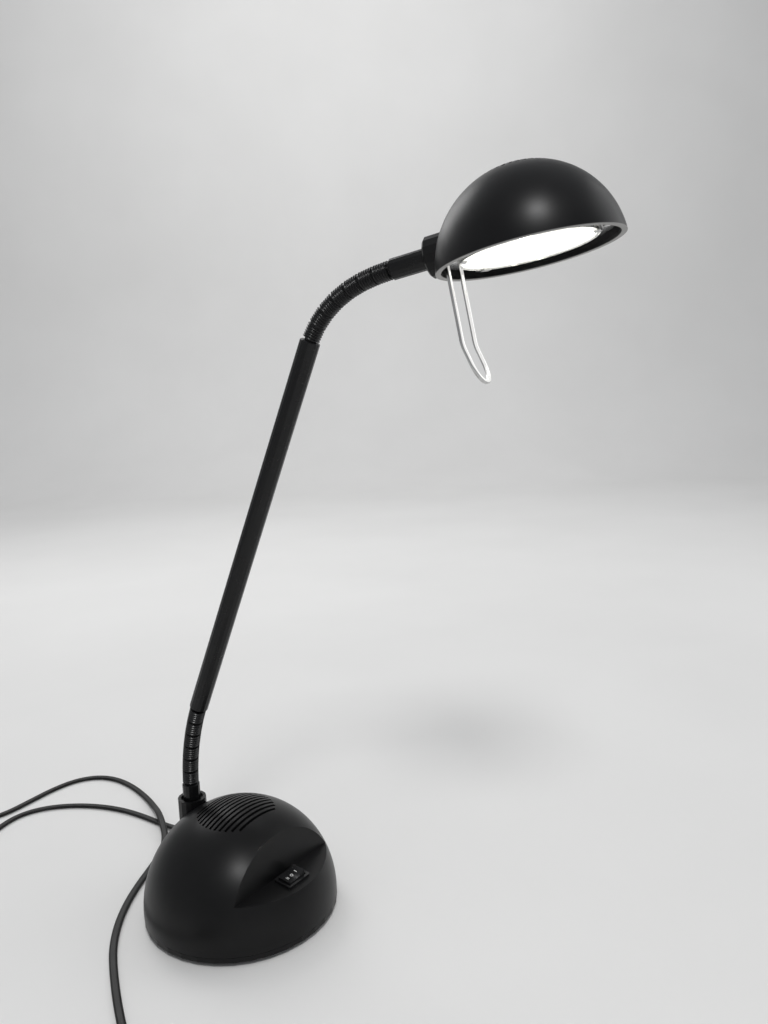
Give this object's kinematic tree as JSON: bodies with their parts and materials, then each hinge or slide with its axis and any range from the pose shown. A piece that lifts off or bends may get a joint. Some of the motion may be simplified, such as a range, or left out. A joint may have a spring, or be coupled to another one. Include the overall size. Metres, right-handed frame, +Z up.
{
  "type": "desk lamp",
  "caption": "Desk lamp with a half-round base, two goosenecks joined by a straight tube, a half-round shade with a wire handle, and a mains lead.",
  "frame": {"origin": "centre of the base on the table", "axes": "+Z up, -Y towards the switch, +X to its right-hand side when +Z is up and -Y is towards the viewer"},
  "size_m": [0.3203, 0.5722, 0.4961],
  "materials": {
    "black_plastic": "fine-grained black moulding",
    "black_neck": "satin black ribbed sleeve",
    "black_tube": "satin black paint",
    "pad_rubber": "foam pad",
    "black_gloss": "glossy black moulding",
    "steel": "zinc-plated steel",
    "white_plastic": "white moulding",
    "ceramic": "glazed ceramic",
    "laminations": "varnished steel sheets",
    "enamelled_wire": "enamelled copper under tape",
    "contact_brass": "bare brass",
    "mirror_sheet": "bright pressed sheet",
    "clear_glass": "clear heat-proof glass",
    "chrome_wire": "bright wire",
    "cord_plastic": "black PVC",
    "tie_plastic": "black strap"
  },
  "bodies": {
    "base": {"base_plate": "black_plastic", "base_screws": "steel", "base_shell": "black_plastic", "clamp_screws": "steel", "cord_bush": "cord_plastic", "cord_clamp": "black_plastic", "cord_coil": "cord_plastic", "cord_lead": "cord_plastic", "cord_tie": "tie_plastic", "core_bolts": "steel", "foot_pad": "pad_rubber", "inner_lead": "cord_plastic", "lower_ferrule": "black_plastic", "neck_socket": "black_plastic", "plug_body": "cord_plastic", "plug_pins": "contact_brass", "primary_winding": "enamelled_wire", "secondary_winding": "enamelled_wire", "socket_nut": "white_plastic", "switch_body": "black_gloss", "switch_terminals": "contact_brass", "terminal_block": "white_plastic", "transformer_bobbin": "white_plastic", "transformer_core": "laminations"},
    "rocker": {"rocker": "black_gloss"},
    "lower_link_1": {"lower_link_1": "black_neck"},
    "lower_link_2": {"lower_link_2": "black_neck"},
    "lower_link_3": {"lower_link_3": "black_neck"},
    "lower_link_4": {"lower_link_4": "black_neck"},
    "lower_link_5": {"lower_link_5": "black_neck"},
    "lower_link_6": {"lower_link_6": "black_neck"},
    "arm": {"tube_foot": "black_plastic", "arm_tube": "black_tube", "tube_head": "black_plastic"},
    "upper_link_1": {"upper_link_1": "black_neck"},
    "upper_link_2": {"upper_link_2": "black_neck"},
    "upper_link_3": {"upper_link_3": "black_neck"},
    "upper_link_4": {"upper_link_4": "black_neck"},
    "upper_link_5": {"upper_link_5": "black_neck"},
    "upper_link_6": {"upper_link_6": "black_neck"},
    "upper_link_7": {"upper_link_7": "black_neck"},
    "head": {"upper_ferrule": "black_plastic", "head_saddle": "black_plastic", "saddle_nut": "steel", "shade": "black_plastic", "reflector": "mirror_sheet", "reflector_screws": "steel", "glass_clips": "steel", "front_glass": "clear_glass", "lamp_holder": "ceramic", "holder_screws": "steel", "bulb_envelope": "clear_glass", "bulb_pins": "steel", "bulb_filament": "steel", "handle": "chrome_wire"}
  },
  "joints": [
    {"name": "lower_neck_bend", "type": "hinge", "parent": "base", "child": "lower_link_1", "pos_m": [0, 0.0475, 0.08452], "axis": [0.9799, 0.1994, 0], "range_deg": [-11.5, 9]},
    {"name": "lower_neck_sway", "type": "hinge", "parent": "lower_link_1", "child": "lower_link_2", "pos_m": [0.00012, 0.04694, 0.0947], "axis": [0.1981, -0.9736, -0.1132], "range_deg": [-11, 11]},
    {"name": "lower_neck_bend_2", "type": "hinge", "parent": "lower_link_2", "child": "lower_link_3", "pos_m": [0.00034, 0.0458, 0.10484], "axis": [0.9799, 0.1994, 0], "range_deg": [-11.5, 9]},
    {"name": "lower_neck_sway_2", "type": "hinge", "parent": "lower_link_3", "child": "lower_link_4", "pos_m": [0.00069, 0.04411, 0.11489], "axis": [0.1942, -0.9546, -0.2257], "range_deg": [-11, 11]},
    {"name": "lower_neck_bend_3", "type": "hinge", "parent": "lower_link_4", "child": "lower_link_5", "pos_m": [0.00115, 0.04186, 0.12483], "axis": [0.9799, 0.1994, 0], "range_deg": [-11.5, 9]},
    {"name": "lower_neck_sway_3", "type": "hinge", "parent": "lower_link_5", "child": "lower_link_6", "pos_m": [0.00172, 0.03905, 0.13462], "axis": [0.1879, -0.9234, -0.3348], "range_deg": [-11, 11]},
    {"name": "lower_neck_bend_4", "type": "hinge", "parent": "lower_link_6", "child": "arm", "pos_m": [0.0024, 0.0357, 0.14423], "axis": [0.9799, 0.1994, 0], "range_deg": [-11.5, 9]},
    {"name": "upper_neck_bend", "type": "hinge", "parent": "arm", "child": "upper_link_1", "pos_m": [0.02439, -0.07237, 0.40659], "axis": [0.9799, 0.1994, 0], "range_deg": [-11.2, 6]},
    {"name": "upper_neck_sway", "type": "hinge", "parent": "upper_link_1", "child": "upper_link_2", "pos_m": [0.02544, -0.07756, 0.4153], "axis": [0.1519, -0.7465, -0.6478], "range_deg": [-11, 11]},
    {"name": "upper_neck_bend_2", "type": "hinge", "parent": "upper_link_2", "child": "upper_link_3", "pos_m": [0.02676, -0.08404, 0.42307], "axis": [0.9799, 0.1994, 0], "range_deg": [-11.2, 6]},
    {"name": "upper_neck_bend_3", "type": "hinge", "parent": "upper_link_3", "child": "upper_link_4", "pos_m": [0.02831, -0.09163, 0.42971], "axis": [0.9799, 0.1994, 0], "range_deg": [-11.2, 6]},
    {"name": "upper_neck_sway_2", "type": "hinge", "parent": "upper_link_4", "child": "upper_link_5", "pos_m": [0.03003, -0.10011, 0.43512], "axis": [0.0814, -0.4003, -0.9128], "range_deg": [-11, 11]},
    {"name": "upper_neck_bend_4", "type": "hinge", "parent": "upper_link_5", "child": "upper_link_6", "pos_m": [0.03189, -0.10923, 0.43928], "axis": [0.9799, 0.1994, 0], "range_deg": [-11.2, 6]},
    {"name": "upper_neck_sway_3", "type": "hinge", "parent": "upper_link_6", "child": "upper_link_7", "pos_m": [0.03382, -0.11874, 0.44241], "axis": [0.046, -0.226, -0.973], "range_deg": [-11, 11]},
    {"name": "upper_neck_bend_5", "type": "hinge", "parent": "upper_link_7", "child": "head", "pos_m": [0.0358, -0.12847, 0.44477], "axis": [0.9799, 0.1994, 0], "range_deg": [-11.2, 6]},
    {"name": "rocker_tilt", "type": "hinge", "parent": "base", "child": "rocker", "pos_m": [0, -0.05143, 0.03741], "axis": [0, 0.9962, 0.0872], "range_deg": [0, 20]}
  ]
}
